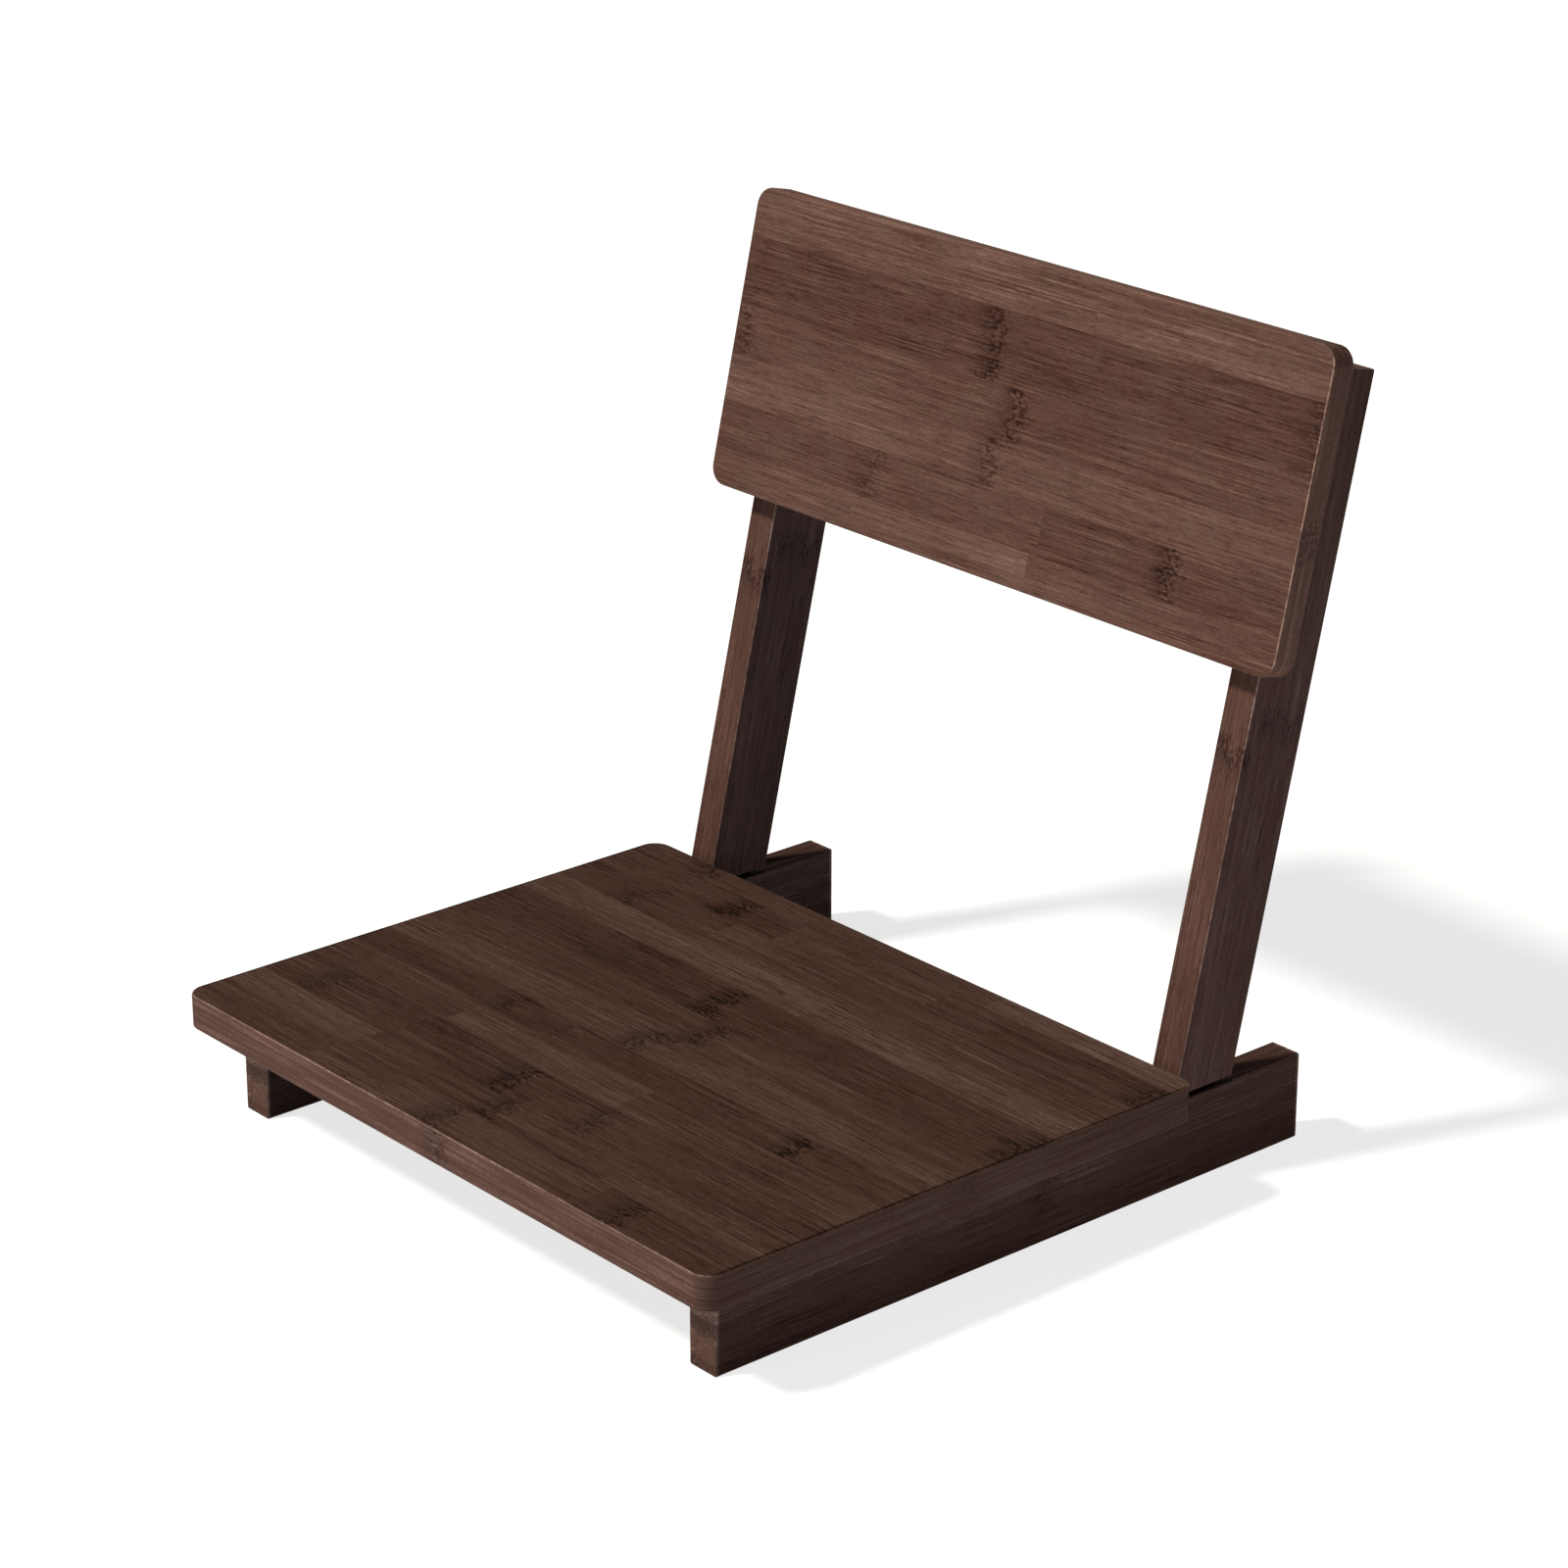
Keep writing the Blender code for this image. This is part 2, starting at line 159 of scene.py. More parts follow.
def board_surface(name, centre, axes, size):
    """A board with round corners and eased edges.

    Rings of a rounded rectangle, one for each step of the edge profile. A ring's points are the
    corner's middle plus (corner radius - inset) times a unit ray. Inset and height follow a quarter
    circle at the upper edge, then the mirrored one at the lower edge, so the two parameters are the
    place along the outline and along the profile. The flat faces close the first and the last ring.
    """
    along, across, out = axes
    length, width, thickness = size
    corner = np.repeat(np.arange(4), CORNER_STEPS + 1)
    angle = (corner + np.tile(np.linspace(0, 1, CORNER_STEPS + 1), 4)) * math.pi / 2
    ray = np.stack((np.cos(angle), np.sin(angle)), axis=1)
    quarter = np.array(((1, 1), (-1, 1), (-1, -1), (1, -1)))[corner]
    middle = quarter * (np.array((length, width)) / 2 - BOARD_CORNER)

    turn = np.linspace(0, math.pi / 2, EDGE_STEPS + 1)
    inset = np.concatenate(([BOARD_EDGE + FLAT_MARGIN], BOARD_EDGE * (1 - np.sin(turn))))
    height = np.concatenate(([0.0], -BOARD_EDGE * (1 - np.cos(turn)))) + thickness / 2
    rim = np.concatenate(([0.0], np.sin(turn) ** 2))
    edge = np.concatenate(([0.0], np.minimum(np.sin(turn), np.cos(turn))))
    inset = np.concatenate((inset, inset[::-1]))
    height = np.concatenate((height, -height[::-1]))

    plan = middle + (BOARD_CORNER - inset[:, None, None]) * ray
    points = centre + plan[..., :1] * along + plan[..., 1:] * across + height[:, None, None] * out
    rings, steps = plan.shape[:2]
    ring, step = np.meshgrid(np.arange(rings - 1), np.arange(steps), indexing="ij")
    after = (step + 1) % steps
    quads = np.stack((ring * steps + step, (ring + 1) * steps + step,
                      (ring + 1) * steps + after, ring * steps + after), axis=-1).reshape(-1, 4)
    top = np.arange(steps)
    bottom = (rings - 1) * steps + top[::-1]
    mesh = bpy.data.meshes.new(name)
    mesh.from_pydata(points.reshape(-1, 3).tolist(), [], quads.tolist() + [top.tolist(), bottom.tolist()])

    set_attribute(mesh, "rim", np.repeat(np.concatenate((rim, rim[::-1])), steps))
    set_attribute(mesh, "edge", np.repeat(np.concatenate((edge, edge[::-1])), steps))
    return mesh


def fasteners_of(board):
    """The names of a board's screws and dowels."""
    return [node for node in sorted(frame["nodes"]) if node.startswith((board + "_screw", board + "_dowel"))]


def bores(name, fasteners, axes, start):
    """Round cutters along a board's screws and dowels: circles at two heights on each fastener's own axis."""
    along, across, out = axes
    turn = np.linspace(0, 2 * math.pi, BORE_STEPS, endpoint=False)
    circle = np.cos(turn)[:, None] * along + np.sin(turn)[:, None] * across
    boxes = [box_in(points_of(node), axes)[:2] for node in fasteners]
    low, high = np.array(boxes).swapaxes(0, 1)
    radius = np.array([SCREW_BORE if "screw" in node else DOWEL_BORE for node in fasteners])
    middle = (low + high) / 2
    foot = middle[:, :1] * along + middle[:, 1:2] * across + start * out
    head = foot + (high[:, 2:] + BORE_END - start) * out
    circles = np.stack((foot, head), axis=1)[:, :, None] + radius[:, None, None, None] * circle
    hole, step = np.meshgrid(np.arange(len(fasteners)) * 2 * BORE_STEPS, np.arange(BORE_STEPS), indexing="ij")
    after = (step + 1) % BORE_STEPS
    side_shading = np.stack((hole + step, hole + after,
                      hole + BORE_STEPS + after, hole + BORE_STEPS + step), axis=-1)
    caps = np.concatenate(((hole + step)[:, ::-1], hole + BORE_STEPS + step))
    mesh = bpy.data.meshes.new(name)
    mesh.from_pydata(circles.reshape(-1, 3).tolist(), [], side_shading.reshape(-1, 4).tolist() + caps.tolist())
    return add_object(name, mesh)


def drill(board, cutter):
    """Cuts the bores out of a board and keeps the result as the board's own mesh."""
    cut = board.modifiers.new("bores", "BOOLEAN")
    cut.object = cutter
    cut.operation = "DIFFERENCE"
    cut.solver = "EXACT"
    solid = board.evaluated_get(bpy.context.evaluated_depsgraph_get())
    board.data = bpy.data.meshes.new_from_object(solid)
    board.modifiers.clear()
    bpy.data.objects.remove(cutter, do_unlink=True)
    board.data.shade_smooth()
    board.data.set_sharp_from_angle(angle=SHARP_ANGLE)


def make_board(node, axes, fasteners):
    """A board in its solid's place, with the holes for its fasteners.

    The solid's box, measured along the board's own axes, gives its size and its middle.
    """
    low, high, centre = box_in(points_of(node), axes)
    board = add_object("dressed_" + node, board_surface(node + "_surface", centre, axes, high - low))
    drill(board, bores(node + "_bores", fasteners, axes, low[2] - BORE_START))
    return board


def make_bar(node, axes):
    """A rail or upright: its solid's faces joined up and shaded round at the edges.

    A point's depth in the rounding of each pair of sides goes from 0, where the flat ends, to 1 at
    the side. The second deepest of the three says how near it is to an edge.
    """
    mesh = frame["nodes"][node].data.copy()
    shell = bmesh.new()
    shell.from_mesh(mesh)
    bmesh.ops.remove_doubles(shell, verts=shell.verts, dist=MERGE_GAP)
    shell.to_mesh(mesh)
    shell.free()
    bar = add_object("dressed_" + node, mesh)
    points = points_in(mesh)
    local = points @ np.stack(axes, axis=1)
    low, high, _ = box_in(points, axes)
    depth = (np.abs(local - (low + high) / 2) - (high - low) / 2 + BAR_EDGE) / BAR_EDGE
    set_attribute(mesh, "edge", np.sort(np.clip(depth, 0, 1), axis=1)[:, 1])
    mesh.shade_smooth()
    mesh.set_sharp_from_angle(angle=SHARP_ANGLE)
    even = bar.modifiers.new("flat_faces", "WEIGHTED_NORMAL")
    even.keep_sharp = True
    return bar


# Shader nodes

def linear(code):
    """An sRGB hex colour as linear red, green, blue and alpha."""
    value = np.array([int(code[i:i + 2], 16) / 255 for i in (1, 3, 5)])
    value = np.where(value <= 0.04045, value / 12.92, ((value + 0.055) / 1.055) ** 2.4)
    return (*value.tolist(), 1.0)


def add(tree, kind, sockets=(), stops=(), blend="LINEAR", **settings):
    """Adds a shader node. A socket takes a value, another node's output, or a node for its first output."""
    made = tree.nodes.new("ShaderNode" + kind)
    for name, value in settings.items():
        setattr(made, name, value)
    for name, value in dict(sockets).items():
        if isinstance(value, bpy.types.Node):
            value = value.outputs[0]
        if isinstance(value, bpy.types.NodeSocket):
            tree.links.new(value, made.inputs[name])
        else:
            made.inputs[name].default_value = value
    if stops:
        ramp = made.color_ramp
        ramp.interpolation = blend
        ramp.elements.remove(ramp.elements[1])
        ramp.elements[0].position, ramp.elements[0].color = stops[0]
        for place, colour in stops[1:]:
            ramp.elements.new(place).color = colour
    return made


def reckon(tree, operation, *values):
    """Arithmetic on one to three values."""
    return add(tree, "Math", enumerate(values), operation=operation)


def remap(tree, value, source, target=(0.0, 1.0), **settings):
    """A value taken from the source range to the target range."""
    return add(tree, "MapRange", enumerate((value, *source, *target)), **settings)


def mix(tree, share, first, second):
    """The first value where the share is 0, the second where it is 1."""
    return add(tree, "Mix", {0: share, 2: first, 3: second})


def weigh(tree, tone, layers):
    """A tone with weighted layers added: each layer's value, its middle value and its weight."""
    for layer, middle, weight in layers:
        shifted = reckon(tree, "SUBTRACT", tone, middle * weight)
        tone = reckon(tree, "MULTIPLY_ADD", layer, weight, shifted)
    return tone


def noise(tree, place, size, detail, roughness=0.5):
    """Noise with features of the given size, in the unit of the place."""
    sockets = {"Vector": place, "Scale": 1 / size, "Detail": detail, "Roughness": roughness}
    return add(tree, "TexNoise", sockets)


def stretched_noise(tree, place, sizes, detail, roughness=0.5):
    """Noise whose features have another size along each axis."""
    shares = tuple(1 / size for size in sizes)
    stretched = add(tree, "VectorMath", {0: place, 1: shares}, operation="MULTIPLY")
    return noise(tree, stretched, 1.0, detail, roughness)


def empty_tree(owner):
    """The cleared node tree of a material or a world."""
    owner.use_nodes = True
    owner.node_tree.nodes.clear()
    return owner.node_tree


def new_material(name):
    """A material and its node tree, still empty."""
    material = bpy.data.materials.new(name)
    return material, empty_tree(material)


def add_shader(tree, sockets):
    """A material's shader, with what its sockets take, and its output."""
    shader = add(tree, "BsdfPrincipled", sockets)
    add(tree, "OutputMaterial", {"Surface": shader})


# Materials

# Layups: each strip's width, the tones of its pieces, the butt joints between them, and its bamboo
# nodes with how strong each one is. Strips run from the near edge of a face to the far one, or from
# its foot to its head. Places are millimetres from the middle of the piece.
SEAT_LAYUP = (
    (24.0, (0.46, 0.53, 0.39), (-100, 105), {-8: 0.9, 126: 1.0}),
    (21.5, (0.60, 0.45, 0.51), (-97, 95), {2: 0.9}),
    (30.0, (0.41, 0.35, 0.44), (-95, 10), {-165: 0.6, -17: 1.0, 44: 0.7}),
    (25.5, (0.47, 0.55, 0.47), (-90, 40), {141: 0.3}),
    (22.0, (0.36, 0.40), (-40,), {-86: 0.7, 126: 1.2}),
    (25.0, (0.53,), (), {-9: 1.0}),
    (25.0, (0.46,), (), {3: 1.0}),
    (34.0, (0.35, 0.38), (110,), {-18: 1.2, 192: 1.0}),
    (25.0, (0.57, 0.59), (20,), {}),
    (26.0, (0.40, 0.47, 0.45), (-85, 95), {-152: 0.6}),
    (25.0, (0.42, 0.47, 0.41), (-60, 50), {-104: 1.3, 190: 0.9}),
    (17.0, (0.46, 0.62), (70,), {-156: 1.0}),
)
BACKBOARD_LAYUP = (
    (19.0, (0.53, 0.61, 0.52), (-92, 35), {}),
    (25.0, (0.49, 0.41), (40,), {-87: 0.6, 125: 1.1}),
    (24.0, (0.58,), (), {-8: 0.9}),
    (26.0, (0.51, 0.48), (0,), {-196: 0.7, 3: 1.0}),
    (36.0, (0.42,), (), {-18: 1.0, 197: 0.7}),
    (26.0, (0.59, 0.61), (50,), {}),
)
# The rails' strips darken towards the floor, partly their own tones and partly painted shade
RAIL_LAYUP = (
    (6.0, (0.20,), (), {}),
    (9.0, (0.30,), (), {}),
    (11.0, (0.39,), (), {8: 0.6}),
    (18.0, (0.50,), (), {16: 0.6}),
    # A 1 mm strip at the head: painted shade that darkens the rail's top face
    (1.0, (0.43,), (), {}),
)
UPRIGHT_LAYUP = (
    (6.0, (0.46,), (), {3: 0.85, -111: 0.3}),
    (32.0, (0.49,), (), {20: 0.6}),
)
OFF_STRIP = 4.0                 # a place well past the end of every strip, as a share of its length
STRIP_SHIFT = 900.0             # from the grain of the first strip to that of the last, in millimetres
PIECE_SHIFT = 0.043             # from the grain of one piece of a strip to the next, as a share of that

# Grain features: their length along the grain and their width, in millimetres. Fibres are really a
# few tenths of a millimetre wide. They are drawn near 1 mm, so that the render shows them.
FIBRE = (55.0, 1.0)
PATCH = (60.0, 9.0)             # where the plane brought the fibres out more or less
DASH = (13.0, 0.9)
FUZZ = (3.0, 0.9)
STREAK = (80.0, 3.2)
DRIFT = (110.0, 22.0)
FLECK = (2.8, 1.7)              # pale and dark flecks at a bamboo node
BEND = (40.0, 11.0)             # bends in a bamboo node's line
GRAIN_ROUGHNESS = 0.55
PALEST_GRAIN = 0.80             # grain stays below the tone of rubbed edges and their painted highlight
FIBRE_RELIEF = 0.20 * MM

# Bamboo nodes, in millimetres along the grain: how far their lines wander, and how far from a line
# its smudge and its flecks are full and where they end
NODE_WANDER = 26.0
SMUDGE_REACH = (2.0, 14.0)
FLECK_REACH = (3.0, 9.0)
FLECK_SHIFT = 5.0               # from a node's smudge to its flecks
SMUDGE_SHARE = 0.6              # of the smudge in a node's mark

# Edges of the boards, in millimetres: features along, across and through the board
RIM_FIBRE = (50.0, 50.0, 1.5)
RIM_STREAK = (70.0, 70.0, 4.0)
RIM_FUZZ = 2.2
RIM_BEND = 7.0
RIM_WANDER = 16.0
GLUE_LINE = (0.2, 0.6)          # from its middle to where it is full and where it ends
END_ZONE = 14.0                 # length at a board's end in which the end's nodes show
END_FADE = (2.0, 10.0)          # from a board's end, where its tone goes over to the long edge's

# How deep the tones of the ends and the sides reach, which are partly stain and partly painted light and
# shade, and the size of the stain's clouds and beads, in millimetres
END_SKIN = (2.6, 1.4)
SIDE_SKIN = 0.3
SIDE_FADE = 0.2
STAIN_CLOUD = 18.0
STAIN_BEAD = 4.0
STAIN_PLACES = (0.0, 0.25, 0.5, 0.75, 1.0)
EVEN_ENDS = (0.0, 0.0)
EVEN_SIDES = ((0.0, 1.0), (0.0, 1.0))
GAP_SHADE = -0.45                  # tone of the painted shade in the joints' gaps
GAP_SHADE_FADE = 0.2 * MM

ZINC_CRYSTAL = 0.6 * MM
BEECH_RAY = 1.2 * MM


def layup_stops(layup, length):
    """Stops of four constant ramps across a layup.

    They hold a strip's three tones, with its number in alpha; its two joints; its three bamboo nodes;
    and how strong those are. Places along the strip are shares of its length.
    """
    widths = np.array([strip[0] for strip in layup])
    starts = ((np.cumsum(widths) - widths) / widths.sum()).tolist()
    tones, joints, nodes, marks = [], [], [], []
    for number, (start, (_, pieces, cuts, knots)) in enumerate(zip(starts, layup)):
        pieces = (*pieces, *pieces[-1:] * 2)[:3]
        cuts = [place / length + 0.5 for place in cuts] + [OFF_STRIP] * 2
        spots = [place / length + 0.5 for place in knots] + [OFF_STRIP] * 3
        strengths = [*knots.values(), 0.0, 0.0, 0.0]
        tones.append((start, (*pieces, number / len(layup))))
        joints.append((start, (*cuts[:2], 0.0, 1.0)))
        nodes.append((start, (*spots[:3], 1.0)))
        marks.append((start, (*strengths[:3], 1.0)))
    return tones, joints, nodes, marks


def grain_noise(tree, grain, feature, detail=2.0):
    """Noise drawn out along the grain, with features of the given length and width."""
    long, fine = feature
    return stretched_noise(tree, grain, (long, fine, fine), detail, GRAIN_ROUGHNESS)


def nearest(tree, spans, reach):
    """How near the strongest of several bamboo nodes is.

    It is the node's strength within the first distance of the reach, and 0 from the second one on.
    """
    most = None
    for span, strength in spans:
        near = reckon(tree, "ABSOLUTE", span)
        near = remap(tree, near, reach, (1.0, 0.0), interpolation_type="SMOOTHSTEP")
        near = reckon(tree, "MULTIPLY", near, strength)
        most = reckon(tree, "MAXIMUM", most, near) if most else near
    return most


def node_mark(tree, grain, spans):
    """A bamboo node's ragged band: a soft smudge, and pale and dark flecks on its farther side.

    Each span is the distance from a node along the grain, in millimetres, with that node's strength.
    """
    smudge = nearest(tree, spans, SMUDGE_REACH)
    shifted = [(reckon(tree, "SUBTRACT", span, FLECK_SHIFT), strength) for span, strength in spans]
    core = nearest(tree, shifted, FLECK_REACH)
    fleck = remap(tree, grain_noise(tree, grain, FLECK, 1.5), (0.36, 0.64), (-0.6, 1.2))
    broken = reckon(tree, "MULTIPLY", core, fleck)
    return reckon(tree, "MULTIPLY_ADD", smudge, SMUDGE_SHARE, broken), smudge


def strip_tone(tree, along, across, through, layup, length, figure):
    """Tone, fibres and node smudges of laminated strips whose grain runs along the piece.

    The figure says how strongly the grain shows.
    """
    width = sum(strip[0] for strip in layup)
    ends = (-length / 2, length / 2)
    place = remap(tree, across, (-width / 2, width / 2))
    share = remap(tree, along, ends, clamp=False)
    ramps = [add(tree, "ValToRGB", {0: place}, stops, "CONSTANT") for stops in layup_stops(layup, length)]
    tones, joints, nodes, marks = (add(tree, "SeparateColor", {0: ramp}).outputs for ramp in ramps)
    past_first = reckon(tree, "GREATER_THAN", share, joints["Red"])
    past_second = reckon(tree, "GREATER_THAN", share, joints["Green"])
    tone = mix(tree, past_first, tones["Red"], tones["Green"])
    tone = mix(tree, past_second, tone, tones["Blue"])
    piece = reckon(tree, "ADD", past_first, past_second)
    number = reckon(tree, "MULTIPLY_ADD", piece, PIECE_SHIFT, ramps[0].outputs["Alpha"])
    depth = reckon(tree, "MULTIPLY_ADD", number, STRIP_SHIFT, through)
    grain = add(tree, "CombineXYZ", {0: along, 1: across, 2: depth})

    # How far each bamboo node is, with the node's line wandering along the grain
    bend = grain_noise(tree, grain, BEND, 1.0)
    bent = weigh(tree, along, [(bend, 0.5, NODE_WANDER)])
    spans = []
    for channel in ("Red", "Green", "Blue"):
        spot = remap(tree, nodes[channel], (0.0, 1.0), ends, clamp=False)
        spans.append((reckon(tree, "SUBTRACT", bent, spot), marks[channel]))
    mark, smudge = node_mark(tree, grain, spans)

    fibre = reckon(tree, "SUBTRACT", grain_noise(tree, grain, FIBRE), 0.5)
    shown = remap(tree, grain_noise(tree, grain, PATCH, 1.0), (0.38, 0.62), (0.45, 1.35))
    line = reckon(tree, "MULTIPLY", fibre, shown)
    dash = remap(tree, grain_noise(tree, grain, DASH, 1.0), (0.54, 0.66))
    fuzz = grain_noise(tree, grain, FUZZ, 1.0)
    streak = grain_noise(tree, grain, STREAK)
    drift = grain_noise(tree, grain, DRIFT)
    layers = [(line, 0.0, 0.85 * figure), (fuzz, 0.5, 0.33 * figure), (dash, 0.1, -0.16 * figure),
              (streak, 0.5, 0.25 * figure), (drift, 0.5, 0.3 * figure), (mark, 0.0, -0.24)]
    tone = weigh(tree, tone, layers)
    return reckon(tree, "MINIMUM", tone, PALEST_GRAIN), line, smudge


def rim_tone(tree, along, across, through, size, rim):
    """Tone of a board's edge: a base tone that is partly painted light and shade, three plies, their glue
    lines, and fibres that run round the board.

    The grain is drawn out in the plane of the board and fine through its thickness, so it has no
    seam. Bamboo nodes mark the long edges at places along the board, and the ends at places across it.
    """
    length, _, thickness = size
    grain = add(tree, "CombineXYZ", {0: along, 1: across, 2: through})
    reach = reckon(tree, "ABSOLUTE", along)
    inside = reckon(tree, "SUBTRACT", length / 2 - END_ZONE, reach)
    fade = (END_FADE[0] - END_ZONE, END_FADE[1] - END_ZONE)
    tone = remap(tree, inside, fade, (rim["end"], rim["edge"]))
    fibre = stretched_noise(tree, grain, RIM_FIBRE, 3.0)
    streak = stretched_noise(tree, grain, RIM_STREAK, 2.0)
    fuzz = noise(tree, grain, RIM_FUZZ, 2.0)
    height = reckon(tree, "ABSOLUTE", through)
    from_glue = reckon(tree, "SUBTRACT", height, thickness / 6)
    from_glue = reckon(tree, "ABSOLUTE", from_glue)
    glue = remap(tree, from_glue, GLUE_LINE, (1.0, 0.0))

    bend = noise(tree, grain, RIM_BEND, 1.0)
    bent_along = weigh(tree, along, [(bend, 0.5, RIM_WANDER)])
    bent_across = weigh(tree, across, [(bend, 0.5, RIM_WANDER)])
    spans = []
    for node, strength in rim["edge_nodes"].items():
        spans.append((reckon(tree, "SUBTRACT", bent_along, node), strength))
    for node, strength in rim["end_nodes"].items():
        span = reckon(tree, "SUBTRACT", bent_across, node)
        span = reckon(tree, "ABSOLUTE", span)
        spans.append((reckon(tree, "MAXIMUM", span, inside), strength))
    mark, smudge = node_mark(tree, grain, spans)
    layers = [(fibre, 0.5, 0.46), (streak, 0.5, 0.26), (fuzz, 0.5, 0.16),
              (glue, 0.0, -0.10), (mark, 0.0, -0.12)]
    return weigh(tree, tone, layers), smudge


def painted_shade_box(tree, place, low, high):
    """The tone of painted shade inside a box, given by two corners in metres: the shade of a gap between
    parts.
    """
    offset = add(tree, "VectorMath", {0: place, 1: (low + high) / 2}, operation="SUBTRACT")
    offset = add(tree, "VectorMath", {0: offset}, operation="ABSOLUTE")
    offset = add(tree, "VectorMath", {0: offset, 1: (high - low) / 2}, operation="SUBTRACT")
    outside = add(tree, "SeparateXYZ", {0: offset}).outputs
    farthest = reckon(tree, "MAXIMUM", outside[0], outside[1])
    farthest = reckon(tree, "MAXIMUM", farthest, outside[2])
    return remap(tree, farthest, (-GAP_SHADE_FADE, 0.0), (GAP_SHADE, 0.0))


def stained_bamboo(name, stain, layup, size, middle, turn, edge_wear_and_highlight, rim=None, ends=EVEN_ENDS,
                   side_shading=EVEN_SIDES, figure=1.0, gap_shade=None):
    """Laminated bamboo, planed, sanded and rubbed with a dark walnut stain under a thin satin lacquer.

    The eye gets strips of uneven tone with butt joints, fibre lines along the grain, greyer flecked
    bands at the bamboo's nodes, paler and smoother edges where the stain was rubbed thin, with a painted
    highlight on them, and ends and sides with tones of their own, partly stain and partly painted light
    and shade. Inside the box of painted shade the wood is nearly black.
    """
    material, tree = new_material(name)
    length, _, thickness = size
    axes, lean = turn
    middle = np.asarray(middle) / MM
    cos, sin = math.cos(lean), math.sin(lean)
    shift = (-middle[0], -(middle[1] * cos - middle[2] * sin), -(middle[1] * sin + middle[2] * cos))
    place = add(tree, "TexCoord").outputs["Object"]
    spot = add(tree, "Mapping", {"Vector": place, "Scale": (1 / MM,) * 3,
                                 "Rotation": (lean, 0, 0), "Location": shift})
    split = add(tree, "SeparateXYZ", {0: spot})
    along, across, through = (split.outputs[axis] for axis in axes)
    tone, fibre, smudge = strip_tone(tree, along, across, through, layup, length, figure)

    # End edges get another tone below and above the middle of the thickness: on the seat a darker one, and on
    # the rails a lighter one that is painted light on their end faces
    reach = reckon(tree, "ABSOLUTE", along)
    at_end = remap(tree, reach, (length / 2 - END_SKIN[0], length / 2 - END_SKIN[1]))
    end_tone = remap(tree, through, (-0.2, 0.2), ends)
    tone = reckon(tree, "MULTIPLY_ADD", at_end, end_tone, tone)

    # Sides: the faces at the low and the high end of the thickness, each with a tone to add and a strength of
    # colour.
    # These are painted light and shade: a side is made lighter or darker, and greyer, for how light falls on
    # it.
    skin = thickness / 2 - SIDE_SKIN
    low_side = remap(tree, through, (-skin - SIDE_FADE, -skin), (1.0, 0.0))
    high_side = remap(tree, through, (skin, skin + SIDE_FADE))
    (low_tone, low_strength), (high_tone, high_strength) = side_shading
    tone = weigh(tree, tone, [(low_side, 0.0, low_tone), (high_side, 0.0, high_tone)])
    # Painted shade: the wood inside the box is made nearly black, as a gap between parts lies in shade
    if gap_shade is not None:
        tone = reckon(tree, "ADD", tone, painted_shade_box(tree, place, *gap_shade))

    # Colour: clouds in the stain, the rims of boards and the sides, whose hue and strength are partly painted
    # light and shade, and greyer nodes
    cloud = noise(tree, spot, STAIN_CLOUD, 2.0)
    warmth = remap(tree, cloud, (0.3, 0.7), (0.5015, 0.4985))
    strength = remap(tree, cloud, (0.3, 0.7), (0.98, 1.03))
    if rim:
        on_rim = add(tree, "Attribute", attribute_name="rim").outputs["Fac"]
        edge_tone, edge_smudge = rim_tone(tree, along, across, through, size, rim)
        tone = mix(tree, on_rim, tone, edge_tone)
        smudge = mix(tree, on_rim, smudge, edge_smudge)
        warmth = weigh(tree, warmth, [(on_rim, 0.0, rim["hue"]), (at_end, 0.0, -rim["hue"])])
        strength = weigh(tree, strength, [(on_rim, 0.0, rim["strength"])])
    strength = weigh(tree, strength, [(low_side, 0.0, low_strength - 1), (high_side, 0.0, high_strength - 1),
                                      (smudge, 0.0, -0.06)])

    # Rubbed edges: the stain is thin there, in beads, and the wood is polished. The paler tone added there is
    # also a painted highlight where the edges catch the light.
    edge = add(tree, "Attribute", attribute_name="edge").outputs["Fac"]
    beads = remap(tree, noise(tree, spot, STAIN_BEAD, 3.0, 0.7), (0.36, 0.60), (0.40, 1.0))
    rubbed_and_lit_edges = reckon(tree, "MULTIPLY", remap(tree, edge, (0.36, 0.66)), beads)
    polish_and_highlight = reckon(tree, "MULTIPLY", rubbed_and_lit_edges, mix(tree, at_end, *edge_wear_and_highlight))
    tone = reckon(tree, "ADD", tone, polish_and_highlight)

    stops = [(share, linear(code)) for share, code in zip(STAIN_PLACES, stain)]
    colour = add(tree, "ValToRGB", {0: tone}, stops)
    colour = add(tree, "HueSaturation", {"Hue": warmth, "Saturation": strength, "Color": colour})
    gloss = remap(tree, fibre, (-0.25, 0.25), (0.68, 0.54))
    gloss = weigh(tree, gloss, [(polish_and_highlight, 0.0, -0.45)])
    sheen = remap(tree, polish_and_highlight, (0.0, 0.5), (0.006, 0.50))
    relief = add(tree, "Bump", {"Height": fibre, "Strength": 0.6, "Distance": FIBRE_RELIEF})
    add_shader(tree, {"Base Color": colour, "Roughness": gloss, "Specular IOR Level": sheen,
                      "Normal": relief})
    return material


def zinc_steel():
    """Zinc-plated steel, blue passivated: a grey mirror clouded by its crystals."""
    material, tree = new_material("zinc_plated_steel_blue_passivated")
    place = add(tree, "TexCoord").outputs["Object"]
    cloud = noise(tree, place, ZINC_CRYSTAL, 3.0)
    colour = add(tree, "ValToRGB", {0: cloud}, ((0.3, linear("#9da2a6")), (0.7, linear("#c9ccce"))))
    gloss = remap(tree, cloud, (0.0, 1.0), (0.28, 0.46))
    relief = add(tree, "Bump", {"Height": cloud, "Strength": 0.3, "Distance": 0.02 * MM})
    add_shader(tree, {"Base Color": colour, "Roughness": gloss, "Normal": relief, "Metallic": 1.0})
    return material


